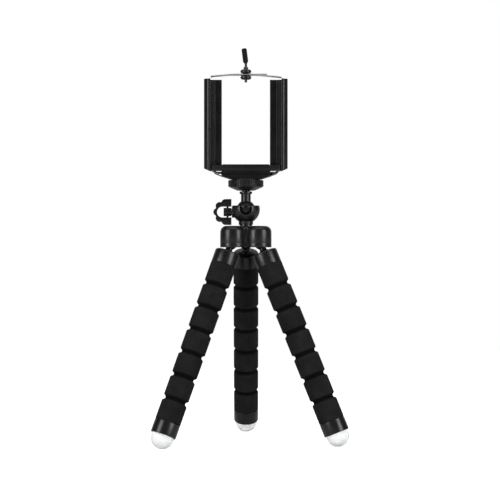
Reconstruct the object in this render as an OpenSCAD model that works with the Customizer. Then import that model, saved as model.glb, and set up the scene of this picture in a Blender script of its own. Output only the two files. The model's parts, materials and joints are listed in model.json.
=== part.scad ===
// Small phone tripod: three bendable foam legs, a ball head and a sprung phone holder.
// Lengths are millimetres, angles are degrees, the floor is z = 0 and the front is -Y.

/* [Legs] */
// Lean of each leg from upright
leg_lean = 23; // [20:1:26]
// Swing of the left leg about its ball, seen from above
left_swing = 4; // [0:1:8]
// Swing of the right leg about its ball, seen from above
right_swing = 11; // [0:1:12]
// Diameter of the foam, the leg caps and the foot caps
leg_d = 19; // [17:0.5:20]
// Number of foam lobes on a leg
lobe_count = 7; // [5:1:8]
// Length of one foam lobe
lobe_h = 15.6; // [15:0.2:20]
// Width of the groove between two lobes
groove_w = 2.4; // [1.6:0.2:3]
// Depth of the groove
groove_d = 1.8; // [1:0.1:2]
// Rounding of a lobe's shoulders
lobe_round = 1.4; // [0.6:0.1:1.6]
// Diameter of the ball at the top of a leg
pin_ball_d = 9.2; // [8.6:0.1:9.6]
// Diameter of the neck under that ball
pin_neck_d = 5.2; // [4.4:0.2:5.4]
// Diameter to which the neck flares at the cap
pin_flare_d = 8.4; // [6:0.2:9]
// Diameter of the pin inside the cap
pin_shank_d = 4.4; // [3.6:0.2:5]
// Diameter of the head that keeps the pin in the cap
pin_head_d = 6.8; // [6:0.2:7]
// Thickness of that head
pin_head_t = 1.4; // [1:0.2:2]
// Distance from the leg's ball centre to its cap
cap_gap = 7; // [6.6:0.1:8]
// Height of the leg's cap
cap_h = 10.5; // [8:0.5:14]
// Rounding of the cap's edge
cap_edge = 1.3; // [0.5:0.1:2]
// Diameter of the bending core inside the foam
core_d = 12; // [11.4:0.1:12.6]
// Diameter of the core's balls
core_ball_d = 8; // [7.4:0.1:8.4]
// Diameter of the core's necks
core_neck_d = 3.8; // [3:0.1:4]
// Height of the foot cap
foot_cap_h = 9.8; // [8:0.2:14]
// Diameter of the soft foot tip
tip_d = 17; // [14:0.2:17.6]
// Depth by which the tip is flattened on the floor
tip_flat = 0.2; // [0.1:0.05:0.4]

/* [Hub] */
// Distance from the hub's centre to a leg's ball
hub_arm = 12.7; // [12.2:0.1:13.2]
// Diameter of one lobe of the hub
hub_lobe_d = 19.2; // [18:0.2:21]
// Distance from the hub's centre to the middle of a lobe
hub_lobe_arm = 11; // [10:0.2:12]
// Height of the hub
hub_h = 16; // [13:0.5:18]
// Rounding of the hub's top edge
hub_edge = 4.5; // [2:0.5:5]
// Diameter of the rib between two lobes
hub_rib_d = 7; // [5:0.5:7.4]
// Diameter of the hub's plate screws
hub_screw_d = 2; // [1.6:0.1:2.4]

/* [Ball head] */
// Diameter of the head's ball
ball_d = 14; // [13:0.2:15]
// Outer diameter of the cup
cup_d = 21; // [20:0.2:22]
// Height of the ball's centre over the hub
ball_rise = 12.4; // [12.3:0.1:15]
// Height of the cup's rim over the ball's centre
cup_rim = 2.8; // [2:0.1:3.4]
// Width of the notch in the front of the cup
notch_w = 9; // [8.6:0.1:10]
// Diameter of the collar under the cup
collar_d = 10.8; // [10:0.2:12]
// Diameter of the bolt that the cup turns on
pan_bolt_d = 5; // [4:0.5:5]
// Diameter of the ball's stem
stem_d = 7.3; // [6.6:0.1:7.6]
// Height of the stem over the ball's centre
stem_h = 11.5; // [11.4:0.1:16]
// Diameter of the flange on the stem
flange_d = 9.4; // [8.6:0.2:12]
// Thickness of the flange
flange_t = 1.9; // [1.2:0.1:3]
// Diameter of the holder's thread, a quarter inch
thread_d = 6.35; // [6:0.05:6.35]
// Pitch of that thread
thread_pitch = 1.27; // [1:0.01:1.5]

/* [Lock knob] */
// Drop of the knob's axis under the ball's centre
knob_drop = 2; // [0.8:0.1:2.1]
// Height of the knob's loop
knob_loop_h = 19.3; // [17:0.1:19.5]
// Thickness of the loop
knob_t = 6.6; // [6.4:0.1:8]
// Height of the opening in the loop
knob_hole_h = 8.2; // [7.6:0.1:9]
// Distance from the head's axis to the far end of the knob
knob_reach = 24.3; // [24:0.1:28]
// Distance from the head's axis to the near end of the knob
knob_near = 10.8; // [10.7:0.1:11.4]
// Diameter of the knob's hub
knob_boss_d = 6.2; // [6:0.1:7]
// Diameter of the knob's screw
knob_screw_d = 4.6; // [4:0.1:5]
// Diameter of the pad that presses on the ball
press_pad_d = 4; // [3:0.1:4.2]

/* [Lock ring] */
// Diameter of the ring
ring_d = 26.4; // [22:0.2:26.6]
// Height of the ring's knurled band
ring_h = 5.2; // [3:0.2:8]
// Height of the cone under the band
ring_cone_h = 2.6; // [2:0.2:4]
// Lower diameter of the cone
ring_cone_d = 13.6; // [12:0.2:18]
// Number of ribs round the ring
knurl_count = 56; // [30:2:72]
// Depth of a rib
knurl_depth = 0.4; // [0.2:0.05:0.6]
// Thickness of the rubber pad on the ring
ring_pad_t = 0.75; // [0.5:0.05:2]

/* [Holder] */
// Width of the holder's base
base_w = 35.6; // [35.2:0.2:38]
// Height of the base's lower body
base_h = 4; // [3.9:0.1:5]
// Width of the flat underneath the base
base_foot_w = 23.4; // [22:0.2:28]
// Depth of the lower body
base_depth = 19; // [18.6:0.2:22]
// Width of the base's flange
wing_w = 50; // [44:0.5:51]
// Thickness of that flange
wing_t = 1.8; // [1.2:0.1:3]
// Depth of the tray in front of the head's axis
tray_front = 12.5; // [12:0.1:15]
// Height of the tray
tray_h = 4.7; // [4:0.1:8]
// Wall of the tray and the base
wall_t = 1.6; // [1.2:0.1:1.8]
// Diameter of the threaded insert
insert_d = 8; // [7.6:0.1:8.2]
// Height of the insert
insert_h = 6.4; // [6:0.1:7]

/* [Jaws] */
// Width across both jaws when shut
jaw_span = 62.2; // [60:0.2:66]
// Width of one jaw
jaw_w = 13.1; // [12:0.1:14]
// Height of a jaw
jaw_h = 68; // [50:0.5:90]
// Thickness of the plate behind the phone
jaw_plate_t = 4.4; // [3.6:0.1:5]
// Thickness of a jaw's side
jaw_side_t = 2.2; // [1.6:0.1:2.4]
// Width of the hook in front of the phone
hook_w = 4.8; // [3.5:0.1:6]
// Thickness of the hook
hook_t = 1.8; // [1.2:0.1:2.4]
// Rounding of the jaw's outer front edge
jaw_round = 2.6; // [1:0.1:3]
// Thickness of the grip pad
grip_t = 1; // [0.6:0.1:1.4]
// Width of the grip pad on the plate
grip_w = 6.2; // [4:0.1:8]
// Diameter of the chrome wire
wire_d = 1.6; // [1.2:0.1:1.8]
// Distance from a jaw's outer side to the middle of its wire
wire_x = 4.6; // [4.1:0.1:5.1]
// Height of the wires' top run over the jaws
wire_rise = 4.1; // [3.2:0.1:6]
// Dip of the left wire from the clamp to its jaw
left_dip = 1.3; // [0.4:0.1:1.6]
// Dip of the right wire from the clamp to its jaw
right_dip = 1.9; // [0.4:0.1:2]
// Length of the wires' ends beyond the head's axis
wire_tail = 16; // [16:0.5:17]
// Outer diameter of the springs in the base
spring_d = 3.2; // [2.8:0.1:3.4]

/* [Wire clamp] */
// Diameter of the clamp's two discs
disc_d = 8.2; // [7.6:0.1:10]
// Thickness of a disc
disc_t = 2.9; // [2:0.1:4]
// Diameter of the clamp's screw
clamp_screw_d = 2.4; // [2.2:0.1:3]
// Height of the neck under the lever
neck_h = 4.5; // [3:0.1:7]
// Length of the lever
lever_h = 11.4; // [8:0.2:18]
// Width of the lever
lever_w = 3.9; // [3:0.1:6]
// Thickness of the lever
lever_t = 2.2; // [1.6:0.1:3]
// Lean of the lever
lever_lean = 7; // [0:1:15]

/* [Hidden] */
$fn = 72;

// Directions of the three legs, turned from +X
back_turn = 90;
left_turn = 210;
right_turn = 330;
leg_turns = [back_turn, left_turn, right_turn];
// Level directions to the right and to the back
right_way = [1, 0, 0];
back_way = [0, 1, 0];
// Play of a ball in its socket and of a shaft in its bore
fit_gap = 0.05;
// Play of a part that moves freely
free_gap = 0.3;
// Overrun of a cut past the face it opens
over = 0.6;
// Play between the foam and the core, measured on the radius
foam_gap = 0.2;
// Sides of a swept wire
wire_sides = 10;

// Places along a leg, measured from its ball down
lobe_pitch = lobe_h + groove_w;
cap_end = cap_gap + cap_h;
foam_len = lobe_count * lobe_h + (lobe_count - 1) * groove_w;
foot_start = cap_end + foam_len;
foot_end = foot_start + foot_cap_h;
tip_sink = tip_d * 0.09;
tip_at = foot_end + tip_sink;
bend_first = cap_end + lobe_h + groove_w / 2;
pin_seat = cap_gap + cap_h * 0.3;
core_shoulder = core_d * 0.36;
core_rim = core_ball_d * 0.225;
core_rim_d = core_d - 2 * core_rim * 0.45;
plug_d = tip_d * 0.6;
plug_h = foot_cap_h * 0.55;

// Heights of the hub and where the legs reach
pivot_z = tip_at * cos(leg_lean) + tip_d / 2 - tip_flat;
function swing(turn) = turn == left_turn ? left_swing : turn == right_turn ? right_swing : 0;
function leg_way(turn) = let (aim = turn + swing(turn))
    [sin(leg_lean) * cos(aim), sin(leg_lean) * sin(aim), -cos(leg_lean)];
function leg_place(turn, at) = hub_arm * [cos(turn), sin(turn), 0] + at * leg_way(turn);
function leg_reach(turn, way) = max(leg_place(turn, tip_at) * way + tip_d / 2,
    leg_place(turn, foot_end) * way + leg_d / 2 * sqrt(1 - pow(leg_way(turn) * way, 2)));
function legs_reach(way) = max([for (turn = leg_turns) leg_reach(turn, way)]);
axis_x = (legs_reach(-right_way) - legs_reach(right_way)) / 2;
axis_y = (legs_reach(-back_way) - legs_reach(back_way)) / 2;
hub_lip = pin_ball_d * 0.3;
hub_z = pivot_z - hub_lip;
hub_split = pivot_z + pin_ball_d * 0.04;
hub_top = hub_z + hub_h;
lean_open = leg_lean + 12;
socket_d = pin_ball_d + 2 * fit_gap;
bolt_head_d = pan_bolt_d * 1.7;
bolt_head_t = pan_bolt_d * 0.56;
bolt_head_top = hub_split + bolt_head_t + free_gap;
hub_rib_arm = hub_lobe_arm * 0.6;
hub_screw_arm = hub_lobe_arm * 0.69;
hub_screw_head_d = hub_screw_d * 1.8;
hub_screw_head_t = hub_screw_d * 0.5;
hub_core_d = hub_lobe_d * 0.8;
hub_boss_h = ball_rise * 0.07;

// Heights of the ball head
ball_z = hub_top + ball_rise;
cup_inner_d = ball_d + 2 * fit_gap;
collar_z = hub_top + hub_boss_h + fit_gap;
bolt_top = ball_z - cup_d / 2 + collar_d * 0.14;
seat_d = ball_d * 0.64;
stem_top = ball_z + stem_h;
flange_top = stem_top + flange_t;
knob_z = ball_z - knob_drop;
knob_bump_d = knob_loop_h * 0.3;
knob_loop_x = knob_reach - knob_loop_h / 2;
knob_wall = knob_loop_h * 0.14;
knob_bar_t = knob_wall * 0.55;
pad_end = cup_d * 0.43;
cup_boss_d = knob_screw_d * 1.85;
cup_boss_end = cup_d / 2 - fit_gap;
knob_boss_in = knob_near;
knob_boss_out = knob_near + knob_boss_d * 0.94;

// Heights of the ring and the holder
ring_lift = thread_pitch / 2;
ring_z = flange_top + ring_lift + fit_gap;
band_z = ring_z + ring_cone_h;
ring_top = band_z + ring_h;
ring_bore_d = thread_d + 2 * fit_gap;
base_z = ring_top + ring_pad_t + fit_gap;
wing_z = base_z + base_h;
tray_z = wing_z + wing_t;
tray_top = tray_z + tray_h;
lip_top = tray_top - tray_h * 0.15;
thread_top = base_z + insert_h * 0.8;
base_boss_d = insert_d * 1.6;
base_side_h = base_h * 0.48;
cell_y = insert_d / 2 + wall_t * 0.4 + spring_d / 2;
cell_w = spring_d + free_gap;
cell_x = base_w / 2 - wall_t;
run_z = wing_z - spring_d * 0.3;
slot_w = base_depth - 2 * wall_t - 2 * free_gap;

// Places of the jaws and the wires
jaw_in = jaw_span / 2 - jaw_w;
jaw_out = jaw_span / 2;
wire_at = jaw_out - wire_x;
jaw_z = tray_z + free_gap;
jaw_top = jaw_z + jaw_h;
jaw_slope_h = jaw_w * 0.12;
jaw_slope_w = jaw_w * 0.34;
jaw_back = jaw_plate_t / 2;
wire_z = jaw_top + wire_rise;
wire_bend = wire_d;
wire_y = clamp_screw_d / 2 + wire_d / 2 + fit_gap;
wire_out = base_w / 2 + wire_d / 2;
stop_l = wire_d * 1.2;
spring_wire_d = wire_d * 0.4;
grip_low = lip_top + free_gap;
nub_h = disc_t * 0.75;
nub_d = clamp_screw_d * 0.8;
nut_top = wire_z - wire_d / 2;
washer_z = wire_z + wire_d / 2;
disc_dish = disc_t * 0.33;
neck_z = washer_z + disc_t + fit_gap;
neck_d = lever_t * 0.85;
lever_z = neck_z + neck_h;

// Points of an arc about a centre, from one angle to another
function arc(at, r, from, to, steps) = [for (i = [0 : steps])
    let (angle = from + (to - from) * i / steps) at + r * [cos(angle), sin(angle)]];

// A rod along the leg between two places
module rod(from, to, d) {
    translate([0, 0, -to]) cylinder(h = to - from, d = d);
}

// A cone along the leg between two places
module taper(from, to, d_from, d_to) {
    translate([0, 0, -to]) cylinder(h = to - from, d1 = d_to, d2 = d_from);
}

// Puts a piece on the head's axis
module on_axis(z = 0) {
    translate([axis_x, axis_y, z]) children();
}

// Puts a piece at a leg's ball, with X to the side that the leg leans to
module on_ball(turn, z) {
    on_axis(z) rotate([0, 0, turn]) translate([hub_arm, 0, 0]) rotate([0, 0, swing(turn)]) children();
}

// Puts a piece on a leg: its ball is the origin and the leg runs down -Z
module on_leg(turn) {
    on_ball(turn, pivot_z) rotate([0, -leg_lean, 0]) children();
}

// A standing cylinder with a rounded top edge
module round_top(d, h, edge) {
    rotate_extrude()
        polygon(concat([[0, 0], [d / 2, 0]], arc([d / 2 - edge, h - edge], edge, 0, 90, 6), [[0, h]]));
}

// A ring of points round a route's point, square to the route
function ring(route, i, d) =
    let (last = len(route) - 1,
        along = route[min(i + 1, last)] - route[max(i - 1, 0)],
        side = cross(along, [0, 1, 0]),
        out = side / norm(side),
        up = cross(out, along) / norm(along))
    [for (k = [0 : wire_sides - 1]) let (angle = 360 * k / wire_sides)
        route[i] + d / 2 * (out * cos(angle) + up * sin(angle))];

// A round wire that follows a route
module swept_wire(route, d) {
    n = wire_sides;
    last = len(route) - 1;
    skin = [for (i = [0 : last - 1]) for (k = [0 : n - 1]) let (j = (k + 1) % n)
        each [[i * n + k, i * n + j, (i + 1) * n + j], [i * n + k, (i + 1) * n + j, (i + 1) * n + k]]];
    near_end = [for (k = [1 : n - 2]) [0, k + 1, k]];
    far_end = [for (k = [1 : n - 2]) [last * n, last * n + k, last * n + k + 1]];
    points = [for (i = [0 : last]) each ring(route, i, d)];
    polyhedron(points = points, faces = concat(skin, near_end, far_end));
}

// Legs
module leg_pin(turn) {
    color("#161617") on_leg(turn) {
        sphere(d = pin_ball_d);
        rod(0, cap_gap - fit_gap, pin_neck_d);
        taper(cap_gap * 0.7, cap_gap - fit_gap, pin_neck_d, pin_flare_d);
        rod(cap_gap - over, pin_seat + fit_gap, pin_shank_d);
        rod(pin_seat + fit_gap, pin_seat + fit_gap + pin_head_t, pin_head_d);
    }
}

// The socket that takes the next link's ball
module core_socket(at) {
    translate([0, 0, -at]) sphere(d = core_ball_d + 2 * fit_gap);
}

// The end of a core piece that holds a socket
module core_end(from, at) {
    rod(from, at - core_rim, core_d);
    taper(at - core_rim, at + core_rim, core_d, core_rim_d);
}

module leg_cap(turn) {
    color("#1b1b1c") on_leg(turn) difference() {
        union() {
            taper(cap_gap, cap_gap + cap_edge / 2, leg_d - 2 * cap_edge, leg_d - cap_edge * 0.6);
            taper(cap_gap + cap_edge / 2, cap_gap + cap_edge, leg_d - cap_edge * 0.6, leg_d);
            rod(cap_gap + cap_edge, cap_end, leg_d);
            core_end(cap_end - over, bend_first);
        }
        rod(cap_gap - over, pin_seat + over, pin_shank_d + 2 * fit_gap);
        rod(pin_seat, bend_first, pin_head_d + 2 * fit_gap);
        core_socket(bend_first);
    }
}

// Outline of one lobe, from the leg's axis out: x is the radius, y runs down the leg
function lobe_points(at) = concat(
    [[leg_d / 2 - groove_d, -at]],
    arc([leg_d / 2 - lobe_round, -at - lobe_round], lobe_round, 75, 0, 3),
    arc([leg_d / 2 - lobe_round, -at - lobe_h + lobe_round], lobe_round, 0, -75, 3),
    [[leg_d / 2 - groove_d, -at - lobe_h]]);

module leg_sleeve(turn) {
    bore = core_d / 2 + foam_gap;
    lobes = [for (i = [0 : lobe_count - 1]) each lobe_points(cap_end + i * lobe_pitch)];
    color("#202022") on_leg(turn) rotate_extrude()
        polygon(concat([[bore, -cap_end]], lobes, [[bore, -foot_start]]));
}

// One core link: its ball hangs in the socket above, and its own socket takes the next
module leg_link(turn, number) {
    at = bend_first + (number - 2) * lobe_pitch;
    color("#2a2a2c") on_leg(turn) difference() {
        union() {
            translate([0, 0, -at]) sphere(d = core_ball_d);
            rod(at, at + core_shoulder + over, core_neck_d);
            core_end(at + core_shoulder, at + lobe_pitch);
        }
        core_socket(at + lobe_pitch);
    }
}

module leg_foot(turn) {
    at = bend_first + (lobe_count - 2) * lobe_pitch;
    color("#1b1b1c") on_leg(turn) difference() {
        union() {
            translate([0, 0, -at]) sphere(d = core_ball_d);
            rod(at, at + core_shoulder + over, core_neck_d);
            rod(at + core_shoulder, foot_start + over, core_d);
            rod(foot_start, foot_end, leg_d);
        }
        rod(foot_end - plug_h, foot_end + over, plug_d);
    }
}

module leg_tip(turn) {
    color("#e8eaea") difference() {
        on_leg(turn) {
            rod(foot_end - plug_h, foot_end + tip_sink, plug_d);
            difference() {
                translate([0, 0, -tip_at]) sphere(d = tip_d);
                rod(foot_end - tip_d, foot_end, tip_d + over);
            }
        }
        on_ball(turn, -tip_d) translate([tip_at * sin(leg_lean), 0, 0]) cylinder(h = tip_d, d = tip_d);
    }
}

// Puts a round part at the end of an arm
module arm_end(turn, arm) {
    translate([arm * cos(turn), arm * sin(turn), 0]) children();
}

// Hub
module hub_outline(h, edge) {
    for (turn = leg_turns) {
        arm_end(turn, hub_lobe_arm) {
            if (edge > 0) round_top(hub_lobe_d, h, edge);
            else cylinder(h = h, d = hub_lobe_d);
        }
        arm_end(turn + 60, hub_rib_arm) {
            if (edge > 0) round_top(hub_rib_d, h, edge * 0.6);
            else cylinder(h = h, d = hub_rib_d);
        }
    }
    cylinder(h = h, d = hub_core_d);
}

// Sockets for the legs' balls, with the slot that each neck swings in
module hub_sockets() {
    half = pin_neck_d / 2 + free_gap;
    far = half / cos(lean_open);
    fan = [[-half, 0], [-half, -pin_ball_d], [far + pin_ball_d * tan(lean_open), -pin_ball_d], [far, 0]];
    for (turn = leg_turns) on_ball(turn, pivot_z) {
        sphere(d = socket_d);
        rotate([90, 0, 0]) linear_extrude(2 * half, center = true) polygon(fan);
    }
}

module hub_screw_places() {
    for (turn = leg_turns) on_axis() arm_end(turn + 60, hub_screw_arm) children();
}

module hub_shell() {
    color("#19191a") difference() {
        union() {
            on_axis(hub_split) hub_outline(hub_top - hub_split, hub_edge);
            on_axis(hub_top - over) cylinder(h = hub_boss_h + over, d = collar_d * 0.86);
        }
        hub_sockets();
        on_axis(hub_split - over)
            cylinder(h = bolt_head_top - hub_split + over, d = bolt_head_d + 2 * free_gap);
        on_axis(hub_split) cylinder(h = hub_h + hub_boss_h, d = pan_bolt_d + 2 * fit_gap);
        hub_screw_places() translate([0, 0, hub_split - over])
            cylinder(h = hub_h * 0.5 + over, d = hub_screw_d);
    }
}

module hub_plate() {
    color("#161617") difference() {
        on_axis(hub_z) hub_outline(hub_split - hub_z, 0);
        hub_sockets();
        on_axis(hub_z - over) cylinder(h = hub_split - hub_z + 2 * over, d = pan_bolt_d);
        hub_screw_places() translate([0, 0, hub_z - over]) {
            cylinder(h = hub_split - hub_z + 2 * over, d = hub_screw_d);
            cylinder(h = hub_screw_head_t + over, d = hub_screw_head_d);
        }
    }
}

module hub_screws() {
    color("#8a8c90") hub_screw_places() translate([0, 0, hub_z]) difference() {
        union() {
            cylinder(h = hub_screw_head_t, d = hub_screw_head_d);
            cylinder(h = hub_split - hub_z + hub_h * 0.5, d = hub_screw_d);
        }
        translate([0, 0, -over]) cylinder(h = hub_screw_head_t * 0.6 + over, d = hub_screw_d * 0.8, $fn = 6);
    }
}

// Ball head
module ball_cup() {
    color("#19191a") difference() {
        on_axis() {
            translate([0, 0, ball_z]) sphere(d = cup_d);
            translate([0, 0, collar_z]) cylinder(h = ball_z - cup_d * 0.4 - collar_z, d = collar_d);
            translate([-cup_boss_end, 0, knob_z]) rotate([0, 90, 0])
                cylinder(h = cup_d * 0.3, d = cup_boss_d);
        }
        on_axis(ball_z) sphere(d = cup_inner_d);
        on_axis(ball_z + cup_rim) cylinder(h = cup_d, d = cup_d + over);
        on_axis(ball_z + knob_drop * 0.1) {
            rotate([90, 0, 0]) cylinder(h = cup_d, d = notch_w);
            translate([-notch_w / 2, -cup_d, 0]) cube([notch_w, cup_d, cup_d]);
        }
        on_axis(bolt_top) cylinder(h = cup_d / 2, d = seat_d + 2 * fit_gap);
        on_axis(collar_z - over) cylinder(h = bolt_top - collar_z + 2 * over, d = pan_bolt_d);
        on_axis(knob_z) rotate([0, -90, 0]) {
            cylinder(h = cup_d, d = press_pad_d + 2 * fit_gap);
            translate([0, 0, pad_end]) cylinder(h = cup_d, d = knob_screw_d + 2 * fit_gap);
        }
    }
}

module ball_seat() {
    color("#d8d8d4") difference() {
        on_axis(bolt_top) cylinder(h = ball_z - ball_d * 0.36 - bolt_top, d = seat_d);
        on_axis(ball_z) sphere(d = cup_inner_d);
    }
}

module pan_bolt() {
    color("#8a8c90") on_axis(bolt_head_top) difference() {
        union() {
            translate([0, 0, -bolt_head_t]) cylinder(h = bolt_head_t, d = bolt_head_d);
            cylinder(h = bolt_top - bolt_head_top, d = pan_bolt_d);
        }
        translate([0, 0, -bolt_head_t - over])
            cylinder(h = bolt_head_t * 0.6 + over, d = pan_bolt_d * 0.7, $fn = 6);
    }
}

module press_pad() {
    color("#c9b26a") difference() {
        on_axis(knob_z) rotate([0, -90, 0]) cylinder(h = pad_end, d = press_pad_d);
        on_axis(ball_z) sphere(d = cup_inner_d);
    }
}

module knob_screw() {
    color("#8a8c90") on_axis(knob_z) translate([-pad_end, 0, 0]) rotate([0, -90, 0])
        cylinder(h = knob_boss_out - pad_end - wall_t, d = knob_screw_d);
}

// Outline of the knob's loop seen from the front: x runs away from the cup, y is up
module knob_outline() {
    difference() {
        union() {
            intersection() {
                translate([knob_loop_x, 0]) circle(d = knob_loop_h * 0.86);
                translate([knob_near, -knob_loop_h / 2]) square([knob_loop_h, knob_loop_h]);
            }
            for (turn = [-84 : 42 : 84]) translate([knob_loop_x, 0]) rotate(turn)
                translate([(knob_loop_h - knob_bump_d) / 2, 0]) circle(d = knob_bump_d, $fn = 24);
            translate([knob_near, -knob_loop_h / 2]) square([knob_loop_x - knob_near, knob_loop_h]);
        }
        translate([knob_reach - knob_wall - knob_hole_h / 2, 0]) circle(d = knob_hole_h);
        translate([knob_near - over, -knob_hole_h / 2])
            square([knob_reach - knob_wall - knob_hole_h / 2 - knob_near + over, knob_hole_h]);
    }
    translate([(knob_boss_in + knob_boss_out - knob_bar_t) / 2, -knob_hole_h / 2 - over])
        square([knob_bar_t, knob_hole_h + 2 * over]);
}

module lock_knob() {
    color("#202021") on_axis(knob_z) mirror([1, 0, 0]) difference() {
        union() {
            translate([0, knob_t / 2, 0]) rotate([90, 0, 0]) linear_extrude(knob_t) knob_outline();
            translate([knob_boss_in, 0, 0]) rotate([0, 90, 0])
                cylinder(h = knob_boss_out - knob_boss_in, d = knob_boss_d);
        }
        translate([knob_near - over, 0, 0]) rotate([0, 90, 0])
            cylinder(h = knob_boss_out - wall_t - knob_near + over, d = knob_screw_d);
    }
}

module ball_stud() {
    color("#1a1a1b") on_axis(ball_z) {
        sphere(d = ball_d);
        cylinder(h = stem_h, d = stem_d);
        translate([0, 0, stem_h]) cylinder(h = flange_t, d = flange_d);
        translate([0, 0, stem_h]) cylinder(h = thread_top - stem_top, d = thread_d);
    }
}

// Lock ring and its pad
module lock_ring() {
    ring_points = [for (i = [0 : 2 * knurl_count - 1])
        (ring_d / 2 - (i % 2) * knurl_depth) * [cos(180 * i / knurl_count), sin(180 * i / knurl_count)]];
    color("#1c1c1d") on_axis() difference() {
        union() {
            translate([0, 0, ring_z])
                cylinder(h = ring_cone_h, d1 = ring_cone_d, d2 = ring_d - 2 * knurl_depth);
            translate([0, 0, band_z]) linear_extrude(ring_h) polygon(ring_points);
        }
        translate([0, 0, ring_z - over]) cylinder(h = ring_cone_h + ring_h + 2 * over, d = ring_bore_d);
    }
}

module ring_pad() {
    color("#242425") on_axis(ring_top) difference() {
        cylinder(h = ring_pad_t, d = ring_d * 0.8);
        translate([0, 0, -over]) cylinder(h = ring_pad_t + 2 * over, d = ring_bore_d);
    }
}

// Holder base: a block seen from the front, cut to its plan
module front_slab(points, y_low, y_high) {
    translate([0, y_high, 0]) rotate([90, 0, 0]) linear_extrude(y_high - y_low) polygon(points);
}

module holder_base() {
    wing_cut_x = (base_w + wing_w) / 2 + free_gap;
    half = base_w / 2;
    wing = wing_w / 2;
    foot = base_foot_w / 2;
    color("#19191a") on_axis() difference() {
        union() {
            front_slab([[-foot, base_z], [foot, base_z], [half, base_z + base_side_h], [half, wing_z + over],
                [-half, wing_z + over], [-half, base_z + base_side_h]], -base_depth / 2, base_depth / 2);
            front_slab([[wing - wing_t, wing_z], [wing, tray_z], [-wing, tray_z], [wing_t - wing, wing_z]],
                -tray_front, base_depth / 2);
            front_slab([[foot, base_z + over], [half, base_z + base_side_h], [wing - wing_t, wing_z],
                [wing_t - wing, wing_z], [-half, base_z + base_side_h], [-foot, base_z + over]],
                base_depth / 2 - wall_t, base_depth / 2);
            translate([0, (base_boss_d - base_depth) / 2 - fit_gap * base_depth / base_h, base_z])
                cylinder(h = base_h + over, d = base_boss_d);
        }
        translate([0, 0, base_z - over]) cylinder(h = base_h + wing_t + 2 * over, d = insert_d);
        for (side = [-1, 1]) {
            translate([-cell_x, side * cell_y - cell_w / 2, run_z - cell_w / 2])
                cube([2 * cell_x, cell_w, base_h + wing_t]);
            translate([side * base_w / 2 - side * wall_t / 2, side * cell_y, run_z])
                rotate([0, 90, 0]) cylinder(h = 2 * wall_t, d = wire_d + 2 * fit_gap, center = true);
            translate([side * wing_cut_x - wing_w / 2, -tray_front - over, wing_z - over])
                cube([wing_w, tray_front + slot_w / 2 + over, wing_t + 2 * over]);
        }
    }
}

module holder_tray() {
    half = base_w / 2 - free_gap;
    lip = wing_w / 2;
    color("#1d1d1e") on_axis() difference() {
        union() {
            front_slab([[-half, tray_z], [half, tray_z], [half, tray_top], [-half, tray_top]],
                -tray_front, base_depth / 2 - wall_t);
            front_slab([[-lip, tray_z], [lip, tray_z], [lip, lip_top], [-lip, lip_top]],
                -tray_front, -jaw_back - free_gap);
        }
        translate([-half + wall_t, -tray_front + wall_t, tray_z - over])
            cube([2 * (half - wall_t), tray_front + base_depth / 2 - 3 * wall_t, tray_h - wall_t + over]);
    }
}

module thread_insert() {
    color("#b59a52") on_axis(base_z) difference() {
        cylinder(h = insert_h, d = insert_d);
        translate([0, 0, -over]) cylinder(h = insert_h + 2 * over, d = ring_bore_d);
    }
}

// Puts a jaw's piece on its side: the right one as drawn, the left one mirrored
module on_side(side) {
    if (side < 0) on_axis() mirror([1, 0, 0]) children();
    if (side > 0) on_axis() children();
}

module jaw(side) {
    plan = concat(
        [[jaw_in, jaw_back]],
        arc([jaw_out - jaw_back, 0], jaw_back, 90, 0, 5),
        arc([jaw_out - jaw_round, jaw_round - tray_front], jaw_round, 0, -90, 5),
        [[jaw_out - hook_w, -tray_front], [jaw_out - hook_w, hook_t - tray_front],
            [jaw_out - jaw_side_t, hook_t - tray_front], [jaw_out - jaw_side_t, -jaw_back],
            [jaw_in, -jaw_back]]);
    front = [[jaw_in, jaw_z], [jaw_out - jaw_slope_w, jaw_z], [jaw_out + over, jaw_z + jaw_slope_h],
        [jaw_out + over, jaw_top], [jaw_in, jaw_top]];
    color("#19191a") on_side(side) difference() {
        intersection() {
            translate([0, 0, jaw_z]) linear_extrude(jaw_h) polygon(plan);
            front_slab(front, -tray_front, jaw_back);
        }
        translate([wire_at, 0, jaw_z - over]) cylinder(h = jaw_h + 2 * over, d = wire_d);
        translate([wire_at - wire_d / 2, 0, jaw_z - over]) cylinder(h = wire_d + over, d = 2.3 * wire_d);
    }
}

module grip(side) {
    face = jaw_out - jaw_side_t;
    color("#262627") on_side(side) translate([0, 0, grip_low]) linear_extrude(jaw_top - grip_low - grip_t)
        polygon([[face, hook_t - tray_front + grip_t / 4], [face, -jaw_back], [face - grip_w, -jaw_back],
            [face - grip_w, -jaw_back - grip_t], [face - grip_t, -jaw_back - grip_t],
            [face - grip_t, hook_t - tray_front + grip_t / 4]]);
}

// Chrome wire of one jaw: spring end, sloping run, upright and top run
module wire(side) {
    run_top = wire_z - (side > 0 ? right_dip : left_dip);
    top_bend = arc([wire_at - wire_bend, run_top - wire_bend], wire_bend, 0, 90, 6);
    route = concat(
        [[free_gap - cell_x, cell_y, run_z], [wire_out, cell_y, run_z],
            [wire_at - wire_d, 0, jaw_z - wire_d / 4], [wire_at - wire_d / 4, 0, jaw_z + wire_d / 4],
            [wire_at, 0, jaw_z + wire_d]],
        [for (p = top_bend) [p[0], 0, p[1]]],
        [[disc_d, wire_y, wire_z], [-wire_tail, wire_y, wire_z]]);
    color("#c4c8cc") on_axis() rotate([0, 0, side > 0 ? 0 : 180]) swept_wire(route, wire_d);
}

module stop(side) {
    color("#8a8c90") on_axis() rotate([0, 0, side > 0 ? 0 : 180])
        translate([-cell_x + 2 * free_gap, cell_y, run_z]) rotate([0, 90, 0]) difference() {
            cylinder(h = stop_l, d = spring_d);
            translate([0, 0, -over]) cylinder(h = stop_l + 2 * over, d = wire_d);
        }
}

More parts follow.
